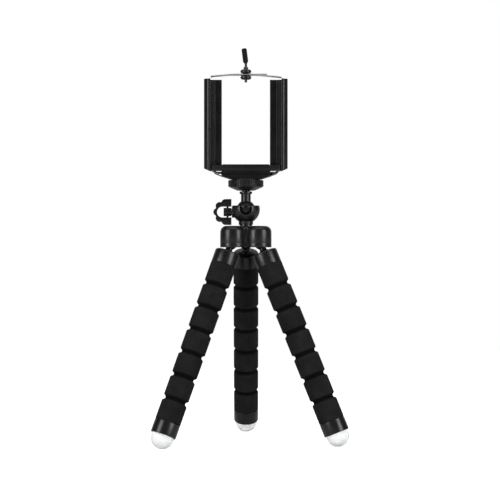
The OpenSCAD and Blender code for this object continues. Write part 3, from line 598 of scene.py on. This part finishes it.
def tipPiece(side, place):
    radius, steps = tipLook["radius"], tipLook["steps"]
    centre = footEnd + radius * tipLook["sunkShare"]
    rimTurn = math.asin(tipLook["sunkShare"])
    turns = [(math.pi / 2 + rimTurn) * k / steps - rimTurn for k in range(steps)]
    plugTop = tipLook["plugDepth"] - footEnd
    profile = [(0, plugTop), (tipLook["plug"], plugTop), (tipLook["plug"], -footEnd - tipLook["seam"])]
    profile += [(radius * math.cos(turn), -centre - radius * math.sin(turn)) for turn in turns]
    profile.append((0, -centre - radius))
    shape = latheMesh(profile, legLook["sides"])
    shape.transform(place)
    for corner in shape.verts:  # the soft tip stands flat on the floor
        corner.co.z = max(corner.co.z, 0)
    tip = placedPiece(side + "SoftTip", shape, Matrix.Identity(4), "tipSilicone")
    standsFor(tip, side + "_tip")


foamLook = {"grooveDepth": 1.8, "grooveFlat": 0.2, "shoulder": 1.25, "bore": 6.2, "endRound": 0.5,
            "endReach": 1.6, "leastReach": 0.001, "weld": 0.001, "blendHalf": 4.5, "sharpAngle": 50,
            "rows": 64, "sides": 72}


def foamLobeTree():
    # a closed sleeve about one groove; its ends are rounded where the leg's foam starts and stops
    tree, given = geometryTree("foamLobe", {
        "Start": "Float", "End": "Float", "Groove Centre": "Float", "Groove Width": "Float",
        "Groove Depth": "Float", "Shoulder": "Float", "Radius": "Float", "Bore": "Float",
        "Start Rounding": "Float", "End Rounding": "Float", "Rows": "Int", "Sides": "Int", "Foam": "Material"})

    def calc(operation, first, second=0.0):
        return treeMath(tree, operation, first, second)

    around = calc("ADD", given["Sides"], 1)
    position = linkedNode(tree, "GeometryNodeInputPosition").outputs["Position"]
    parts = linkedNode(tree, "ShaderNodeSeparateXYZ", {0: position}).outputs
    share = calc("ADD", parts["X"], 0.5)
    angle = calc("MULTIPLY", calc("ADD", parts["Y"], 0.5), math.tau)
    step = calc("DIVIDE", 1.0, calc("SUBTRACT", given["Rows"], 1))
    inner = mapped(tree, share, step, calc("SUBTRACT", 1.0, step), given["Start"], given["End"])
    fromGroove = calc("ABSOLUTE", calc("SUBTRACT", inner, given["Groove Centre"]))
    flat = calc("MULTIPLY", given["Groove Width"], foamLook["grooveFlat"])
    wide = calc("ADD", calc("MULTIPLY", given["Groove Width"], 0.5), given["Shoulder"])
    rise = mapped(tree, fromGroove, flat, wide, given["Groove Depth"], 0.0, interpolation_type="SMOOTHSTEP")
    sunk = []
    for label, edge in (("Start Rounding", "Start"), ("End Rounding", "End")):
        away = calc("ABSOLUTE", calc("SUBTRACT", inner, given[edge]))
        reach = calc("ADD", calc("MULTIPLY", given[label], foamLook["endReach"]), foamLook["leastReach"])
        near = calc("SUBTRACT", 1.0, calc("MINIMUM", calc("DIVIDE", away, reach), 1.0))
        sunk.append(calc("MULTIPLY", calc("POWER", near, 2.0), given[label]))
    outer = calc("SUBTRACT", calc("SUBTRACT", given["Radius"], rise), calc("ADD", *sunk))
    # how deep the groove is here, which the foam's finish turns into painted shade
    depth = calc("DIVIDE", rise, given["Groove Depth"])
    edgeShare = calc("SUBTRACT", 0.5, calc("MULTIPLY", step, 0.5))
    atEnd = calc("GREATER_THAN", calc("ABSOLUTE", parts["X"]), edgeShare)

    def wall(rows, radius, height):
        sheet = linkedNode(tree, "GeometryNodeMeshGrid", {
            "Size X": 1.0, "Size Y": 1.0, "Vertices X": rows, "Vertices Y": around}).outputs["Mesh"]
        spot = linkedNode(tree, "ShaderNodeCombineXYZ", {
            "X": calc("MULTIPLY", radius, calc("COSINE", angle)),
            "Y": calc("MULTIPLY", radius, calc("SINE", angle)),
            "Z": calc("MULTIPLY", height, -1.0)}).outputs["Vector"]
        marked = linkedNode(tree, "GeometryNodeStoreNamedAttribute", {
            "Geometry": sheet, "Name": "groove", "Value": depth}, data_type="FLOAT", domain="POINT")
        moved = linkedNode(tree, "GeometryNodeSetPosition", {
            "Geometry": marked.outputs["Geometry"], "Position": spot})
        return moved.outputs["Geometry"]

    radius = mapped(tree, atEnd, 0.0, 1.0, outer, given["Bore"])
    boreHeight = mapped(tree, share, 0.0, 1.0, given["Start"], given["End"])
    joined = linkedNode(tree, "GeometryNodeJoinGeometry")
    tree.links.new(wall(given["Rows"], radius, inner), joined.inputs["Geometry"])
    tree.links.new(wall(2, given["Bore"], boreHeight), joined.inputs["Geometry"])
    closed = linkedNode(tree, "GeometryNodeMergeByDistance", {
        "Geometry": joined.outputs["Geometry"], "Distance": foamLook["weld"]})
    return treeEnds(tree, closed.outputs["Geometry"], given["Foam"])


def foamPieces(side, place, tree, chain):
    # one piece for each groove, between the two core pieces that meet there
    last = len(chain) - 1
    for k in range(1, last + 1):
        grooveAt = legLook["capEnd"] + k * lobePitch - legLook["grooveWidth"] / 2
        values = {"Start": legLook["capEnd"] if k == 1 else grooveAt - lobePitch / 2,
                  "End": foamEnd if k == last else grooveAt + lobePitch / 2, "Groove Centre": grooveAt,
                  "Groove Width": legLook["grooveWidth"], "Groove Depth": foamLook["grooveDepth"],
                  "Shoulder": foamLook["shoulder"], "Radius": legLook["radius"], "Bore": foamLook["bore"],
                  "Start Rounding": foamLook["endRound"] if k == 1 else 0.0,
                  "End Rounding": foamLook["endRound"] if k == last else 0.0,
                  "Rows": foamLook["rows"], "Sides": foamLook["sides"], "Foam": finishes["legFoam"]}
        foam = grownPiece(side + "Foam" + str(k), tree, values, place, foamLook["sharpAngle"])
        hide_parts(side + "_sleeve")
        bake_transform(foam)


foamTree = foamLobeTree()
for side in legSides:
    place = legPlace(side)
    links = [side + "_link_" + str(k) for k in range(2, legLook["lobes"])]
    pinPiece(side, place)
    capPiece(side, place)
    footPiece(side, place)
    tipPiece(side, place)
    foamPieces(side, place, foamTree, [side + "_cap"] + links + [side + "_foot"])
    dressed("coreGrey", *links)
print("legs made")


# Hub and ball head

softEdges = {"hub_shell": 0.35, "hub_plate": 0.3, "ball_cup": 0.3, "lock_knob": 0.45, "holder_base": 0.3,
             "holder_tray": 0.4, "clamp_lever": 0.4}
for name, nodeName in (("hubMoulding", "hub_shell"), ("hubPlate", "hub_plate"), ("ballCup", "ball_cup"),
                       ("thumbKnob", "lock_knob")):
    softenedCopy(name, nodeName, "mouldedBlack", softEdges[nodeName])
dressed("zincSteel", "hub_screws", "pan_bolt", "knob_screw", "clamp_screw")
dressed("seatNylon", "ball_seat")
dressed("turnedBrass", "press_pad", "thread_insert")

studLook = {"ball": 7.0, "stem": 3.65, "stemHeight": 11.5, "stemRound": 0.4, "seam": 0.05, "flange": 4.7,
            "flangeHeight": 1.9, "flangeRound": 0.35, "thread": 3.17, "threadDepth": 0.35, "threadRound": 0.3,
            "arcSteps": 30, "sides": 96}
threadLook = {"pitch": 1.27, "coil": 2.82, "wire": 0.34, "steps": 28, "inset": 0.6}
ballHeight = ballCentre.z / mm
threadTop = heights("ball_stud")[1]
flangeLow = ballHeight + studLook["stemHeight"]
flangeHigh = flangeLow + studLook["flangeHeight"]


def studPiece():
    ball, stem, flange, steps = studLook["ball"], studLook["stem"], studLook["flange"], studLook["arcSteps"]
    threadCore = studLook["thread"] - studLook["threadDepth"]
    stemFoot = math.sqrt(ball ** 2 - stem ** 2)
    stemTurn = math.acos(stemFoot / ball)
    turns = [stemTurn + (math.pi - stemTurn) * k / steps for k in range(steps)]
    profile = filleted([
        (0, threadTop, 0), (threadCore, threadTop, studLook["threadRound"]), (threadCore, flangeHigh, 0),
        (flange, flangeHigh, studLook["flangeRound"]), (flange, flangeLow, studLook["flangeRound"]),
        (stem, flangeLow, studLook["stemRound"]), (stem, ballHeight + stemFoot + studLook["seam"], 0)])
    profile += [(ball * math.sin(turn), ballHeight + ball * math.cos(turn)) for turn in turns]
    profile.append((0, ballHeight - ball))
    stud = placedPiece("ballStud", latheMesh(profile, studLook["sides"]), headPlace(), "mouldedBlack")
    standsFor(stud, "ball_stud")


def coilTree():
    tree, given = geometryTree("coil", {"Turns": "Float", "Height": "Float", "Coil Radius": "Float",
                                        "Wire Radius": "Float", "Steps": "Int", "Metal": "Material"})
    spiral = linkedNode(tree, "GeometryNodeCurveSpiral", {
        "Resolution": given["Steps"], "Rotations": given["Turns"], "Start Radius": given["Coil Radius"],
        "End Radius": given["Coil Radius"], "Height": given["Height"]}).outputs["Curve"]
    section = linkedNode(tree, "GeometryNodeCurvePrimitiveCircle", {
        "Resolution": 8, "Radius": given["Wire Radius"]})
    tube = linkedNode(tree, "GeometryNodeCurveToMesh", {
        "Curve": spiral, "Profile Curve": section.outputs["Curve"], "Fill Caps": True}).outputs["Mesh"]
    return treeEnds(tree, tube, given["Metal"])


def threadPiece(tree):
    run = threadTop - flangeHigh - 2 * threadLook["inset"]
    values = {"Turns": run / threadLook["pitch"], "Height": run, "Coil Radius": threadLook["coil"],
              "Wire Radius": threadLook["wire"], "Steps": threadLook["steps"],
              "Metal": finishes["mouldedBlack"]}
    place = headPlace() @ Matrix.Translation((0, 0, flangeHigh + threadLook["inset"]))
    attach(grownPiece("studThread", tree, values, place), "stud")


coil = coilTree()
studPiece()
threadPiece(coil)

ringLook = {"radius": 13.2, "ribs": 56, "ribRadius": 0.5, "ribDepth": 0.6, "ribInset": 0.3, "bandHeight": 5.2,
            "coneHeight": 2.6, "coneRadius": 6.8, "coneRound": 0.3, "lowRound": 0.25, "highRound": 0.4,
            "bore": 3.3, "sides": 112}
padLook = {"lowRound": 0.15, "highRound": 0.25}
bandLow = heights("lock_ring")[0] + ringLook["coneHeight"]
bandHigh = bandLow + ringLook["bandHeight"]


def ringPiece():
    low, bore = heights("lock_ring")[0], ringLook["bore"]
    band = ringLook["radius"] - ringLook["ribDepth"]
    profile = filleted([
        (bore, low, 0), (ringLook["coneRadius"], low, ringLook["coneRound"]),
        (band, bandLow, ringLook["lowRound"]), (band, bandHigh, ringLook["highRound"]), (bore, bandHigh, 0)],
        closed=True)
    ring = placedPiece("lockRing", latheMesh(profile, ringLook["sides"]), headPlace(), "mouldedBlack")
    standsFor(ring, "lock_ring")


def ringRibTree():
    tree, given = geometryTree("ringRibs", {"Ribs": "Int", "Circle Radius": "Float", "Rib Radius": "Float",
                                            "Rib Height": "Float", "Plastic": "Material"})
    circle = linkedNode(tree, "GeometryNodeMeshCircle", {
        "Vertices": given["Ribs"], "Radius": given["Circle Radius"]})
    rib = linkedNode(tree, "GeometryNodeMeshCylinder", {
        "Vertices": 10, "Radius": given["Rib Radius"], "Depth": given["Rib Height"]}).outputs["Mesh"]
    spread = linkedNode(tree, "GeometryNodeInstanceOnPoints", {
        "Points": circle.outputs["Mesh"], "Instance": rib})
    return treeEnds(tree, spread.outputs["Instances"], given["Plastic"])


def ringRibs():
    values = {"Ribs": ringLook["ribs"], "Circle Radius": ringLook["radius"] - ringLook["ribRadius"],
              "Rib Radius": ringLook["ribRadius"],
              "Rib Height": ringLook["bandHeight"] - 2 * ringLook["ribInset"],
              "Plastic": finishes["mouldedBlack"]}
    place = headPlace() @ Matrix.Translation((0, 0, (bandLow + bandHigh) / 2))
    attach(grownPiece("ringRibs", ringRibTree(), values, place), "lock_ring")


def ringPad():
    low, high = heights("ring_pad")
    radius = (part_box("ring_pad")[1].x - ballCentre.x) / mm
    profile = filleted([(ringLook["bore"], low, 0), (radius, low, padLook["lowRound"]),
                        (radius, high, padLook["highRound"]), (ringLook["bore"], high, 0)], closed=True)
    standsFor(placedPiece("ringPad", latheMesh(profile), headPlace(), "gripRubber"), "ring_pad")


ringPiece()
ringRibs()
ringPad()
print("hub and head made")


# Phone holder. The right side is drawn, and the left one is its mirror image or half turn.

# the base gets painted shade, a darker and duller copy of the satin black
softenedCopy("holderBase", "holder_base", "paintedShadeBlack", softEdges["holder_base"])
softenedCopy("holderTray", "holder_tray", "satinBlack", softEdges["holder_tray"])

jawLook = {"inner": 18.0, "outer": 31.1, "back": 2.2, "backRound": 2.1, "front": 12.5, "frontCut": 2.9,
           "frontRound": 2.6, "sideRound": 2.0, "side": 2.2, "hookWidth": 4.8, "hookThick": 1.8, "round": 0.5,
           "innerRound": 0.3, "slopeWidth": 4.45, "slopeHeight": 1.57, "edge": 0.4, "edgeAngle": 50, "steps": 7}
jawLow, jawHigh = heights("right_jaw")
slopeStart = jawLook["outer"] - jawLook["slopeWidth"]
hookInside = jawLook["hookThick"] - jawLook["front"]


def jawBottom(x, y):
    # the outer lower corner is cut away on a slope
    return jawLow + max(0.0, x - slopeStart) / jawLook["slopeWidth"] * jawLook["slopeHeight"]


def jawOutline():
    inner, outer, front, back = (jawLook[key] for key in ("inner", "outer", "front", "back"))
    hook, face, small = outer - jawLook["hookWidth"], outer - jawLook["side"], jawLook["innerRound"]
    plan = filleted([
        (inner, back, jawLook["round"]), (outer, back, jawLook["backRound"]),
        (outer, jawLook["frontCut"] - front, jawLook["sideRound"]),
        (outer - jawLook["frontCut"], -front, jawLook["frontRound"]), (hook, -front, jawLook["round"]),
        (hook, hookInside, jawLook["round"]), (face, hookInside, small), (face, -back, small),
        (inner, -back, jawLook["round"])], closed=True, steps=jawLook["steps"])
    lined = []
    for first, second in zip(plan, plan[1:] + plan[:1]):
        lined.append(first)
        if (first[0] - slopeStart) * (second[0] - slopeStart) < -meshLook["least"]:
            # a point where the slope starts keeps its face flat
            share = (slopeStart - first[0]) / (second[0] - first[0])
            lined.append((slopeStart, first[1] + (second[1] - first[1]) * share))
    return lined


def jawPiece(side, place):
    jaw = placedPiece(side + "Jaw", prismMesh(jawOutline(), jawBottom, jawHigh), place, "satinBlack")
    edgesSoftened(jaw, jawLook["edge"], jawLook["edgeAngle"])
    standsFor(jaw, side + "_jaw")


gripLook = {"thick": 1.0, "width": 6.2, "gap": 0.25, "gapRound": 0.2, "endRound": 0.4, "cornerRound": 0.5,
            "hookRound": 0.3, "edge": 0.25, "edgeAngle": 60, "ribs": 5, "ribRadius": 0.28, "ribPitch": 0.95,
            "ribAside": 0.75, "ribInset": 0.6}
gripLow, gripHigh = heights("right_grip")
gripFace = jawLook["outer"] - jawLook["side"]


def gripRibTree():
    tree, given = geometryTree("gripRibs", {"Ribs": "Int", "Spacing": "Float", "Rib Radius": "Float",
                                            "Rib Height": "Float", "Rubber": "Material"})
    apart = linkedNode(tree, "ShaderNodeCombineXYZ", {"X": given["Spacing"]}).outputs["Vector"]
    points = linkedNode(tree, "GeometryNodeMeshLine", {"Count": given["Ribs"], "Offset": apart}).outputs["Mesh"]
    rib = linkedNode(tree, "GeometryNodeMeshCylinder", {
        "Vertices": 12, "Radius": given["Rib Radius"], "Depth": given["Rib Height"]}).outputs["Mesh"]
    spread = linkedNode(tree, "GeometryNodeInstanceOnPoints", {"Points": points, "Instance": rib})
    return treeEnds(tree, spread.outputs["Instances"], given["Rubber"])


def gripPiece(side, place):
    hookEnd, back = hookInside + gripLook["gap"], -jawLook["back"]
    front, edge, inner = back - gripLook["thick"], gripFace - gripLook["width"], gripFace - gripLook["thick"]
    plan = filleted([
        (gripFace, hookEnd, gripLook["gapRound"]), (gripFace, back, 0), (edge, back, 0),
        (edge, front, gripLook["endRound"]), (inner, front, gripLook["cornerRound"]),
        (inner, hookEnd, gripLook["hookRound"])], closed=True)
    grip = placedPiece(side + "Grip", prismMesh(plan, lambda x, y: gripLow, gripHigh), place, "gripRubber")
    edgesSoftened(grip, gripLook["edge"], gripLook["edgeAngle"])
    standsFor(grip, side + "_grip")


def gripRibs(side, place, tree):
    values = {"Ribs": gripLook["ribs"], "Spacing": gripLook["ribPitch"], "Rib Radius": gripLook["ribRadius"],
              "Rib Height": gripHigh - gripLow - 2 * gripLook["ribInset"], "Rubber": finishes["gripRubber"]}
    spot = (gripFace - gripLook["width"] + gripLook["ribAside"], -jawLook["back"] - gripLook["thick"],
            (gripLow + gripHigh) / 2)
    ribs = grownPiece(side + "GripRibs", tree, values, place @ Matrix.Translation(spot))
    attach(ribs, side + "_jaw")


wireLook = {"radius": 0.8, "runStart": -15.9, "runEnd": 18.6, "runAside": 6.24, "runAbove": 1.6, "elbow": 25.3,
            "elbowRise": 0.2, "upright": 26.5, "uprightRise": 3.2, "leftDip": 1.3, "rightDip": 1.9,
            "levelTo": 8.2, "apart": 2.05, "tail": 15.8, "bends": (0, 1.6, 1.4, 1.2, 1.9, 3.0, 0), "sides": 20}
bendShares = (0, 0.15, 0.3, 0.45, 0.6, 0.75, 0.9, 1)
bendRoomShare = 0.45


def bentRoute(corners, bends):
    # a straight run between corners, each rounded by a short curve
    route = [corners[0]]
    for k in range(1, len(corners) - 1):
        here = corners[k]
        back, ahead = corners[k - 1] - here, corners[k + 1] - here
        reach = min(bends[k], back.length * bendRoomShare, ahead.length * bendRoomShare)
        first, final = here + back.normalized() * reach, here + ahead.normalized() * reach
        route += [first.lerp(here, share).lerp(here.lerp(final, share), share) for share in bendShares]
    return route + [corners[-1]]


def wirePiece(side, place):
    # from inside the base, up through the jaw and over to the clamp
    high = heights("right_wire")[1] - wireLook["radius"]
    run = heights("right_stop")[0] + wireLook["runAbove"]
    aside, upright, apart = wireLook["runAside"], wireLook["upright"], wireLook["apart"]
    corners = [(wireLook["runStart"], aside, run), (wireLook["runEnd"], aside, run),
               (wireLook["elbow"], 0, jawLow + wireLook["elbowRise"]),
               (upright, 0, jawLow + wireLook["uprightRise"]),
               (upright, 0, high - wireLook[side + "Dip"]), (wireLook["levelTo"], apart, high),
               (-wireLook["tail"], apart, high)]
    route = bentRoute([Vector(corner) for corner in corners], wireLook["bends"])
    rod = rodMesh(route, wireLook["radius"], wireLook["sides"])
    wire = placedPiece(side + "Wire", rod, place, "wireChrome")
    standsFor(wire, side + "_wire")


stopLook = {"bore": 0.82, "radius": 1.6, "round": 0.25, "sides": 32}
springLook = {"turns": 17.0, "coil": 1.27, "wire": 0.3, "steps": 18, "inset": 0.35, "travel": 15}
alongX = Matrix.Rotation(math.radians(90), 4, "Y")


def lengthAndMiddle(nodeName, place):
    low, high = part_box(nodeName)
    return (high.x - low.x) / mm, place.inverted() @ ((low + high) / 2)


def stopPiece(side, place):
    length, middle = lengthAndMiddle(side + "_stop", place)
    bore, radius, half = stopLook["bore"], stopLook["radius"], length / 2
    profile = filleted([(bore, -half, 0), (radius, -half, stopLook["round"]), (radius, half, stopLook["round"]),
                        (bore, half, 0)], closed=True)
    lying = place @ Matrix.Translation(middle) @ alongX
    stop = placedPiece(side + "Collar", latheMesh(profile, stopLook["sides"]), lying, "zincSteel")
    standsFor(stop, side + "_stop")


def springPiece(side, place, tree):
    # it stays with the holder, its outer end at the base's wall; in the real holder the wire's stop pushes the
    # other
    length, middle = lengthAndMiddle(side + "_spring", place)
    values = {"Turns": springLook["turns"], "Height": length - 2 * springLook["inset"],
              "Coil Radius": springLook["coil"], "Wire Radius": springLook["wire"], "Steps": springLook["steps"],
              "Metal": finishes["zincSteel"]}
    lying = place @ Matrix.Translation(middle) @ alongX
    start = Matrix.Translation((0, 0, springLook["inset"] - length / 2))
    spring = grownPiece(side + "Spring", tree, values, lying @ start)
    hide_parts(side + "_spring")
    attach(spring, "holder")
    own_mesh(spring)


gripTree = gripRibTree()
for side, mirrored in (("left", True), ("right", False)):
    place = headPlace(mirrored)
    turnedPlace = headPlace() @ Matrix.Rotation(math.pi if mirrored else 0, 4, "Z")
    jawPiece(side, place)
    gripPiece(side, place)
    gripRibs(side, place, gripTree)
    wirePiece(side, turnedPlace)
    stopPiece(side, turnedPlace)
    springPiece(side, turnedPlace, coil)
print("holder made")


# Wire clamp

discLook = {"radius": 4.1, "thick": 2.9, "dish": 0.95, "rimRound": 0.4, "edgeRound": 0.5, "bore": 1.25,
            "boreRound": 0.15, "sides": 64}
nutLook = {"nub": 0.96, "nubRound": 0.3, "lowRound": 0.3, "sideRound": 0.4, "boreLow": 1.56}


def nutPiece():
    low, high = heights("clamp_nut")
    discLow = high - discLook["thick"]
    radius, dish, bore = discLook["radius"], discLook["dish"], discLook["bore"]
    profile = filleted([
        (0, low, 0), (nutLook["nub"], low, nutLook["nubRound"]), (nutLook["nub"], discLow, 0),
        (radius - dish, discLow, nutLook["lowRound"]), (radius, discLow + dish, nutLook["sideRound"]),
        (radius, high - dish, discLook["edgeRound"]), (radius - dish, high, discLook["rimRound"]),
        (bore, high, discLook["boreRound"]), (bore, discLow + nutLook["boreLow"], 0),
        (0, discLow + nutLook["boreLow"], 0)])
    nut = placedPiece("clampNut", latheMesh(profile, discLook["sides"]), headPlace(), "mouldedBlack")
    standsFor(nut, "clamp_nut")


def washerPiece():
    low, high = heights("clamp_washer")
    radius, dish, bore = discLook["radius"], discLook["dish"], discLook["bore"]
    profile = filleted([
        (bore, low, 0), (radius - dish, low, discLook["rimRound"]), (radius, low + dish, discLook["edgeRound"]),
        (radius, high - dish, discLook["edgeRound"]), (radius - dish, high, discLook["rimRound"]),
        (bore, high, discLook["boreRound"])], closed=True)
    washer = placedPiece("clampWasher", latheMesh(profile, discLook["sides"]), headPlace(), "mouldedBlack")
    standsFor(washer, "clamp_washer")


nutPiece()
washerPiece()
softenedCopy("clampLever", "clamp_lever", "mouldedBlack", softEdges["clamp_lever"])
print("clamp made")
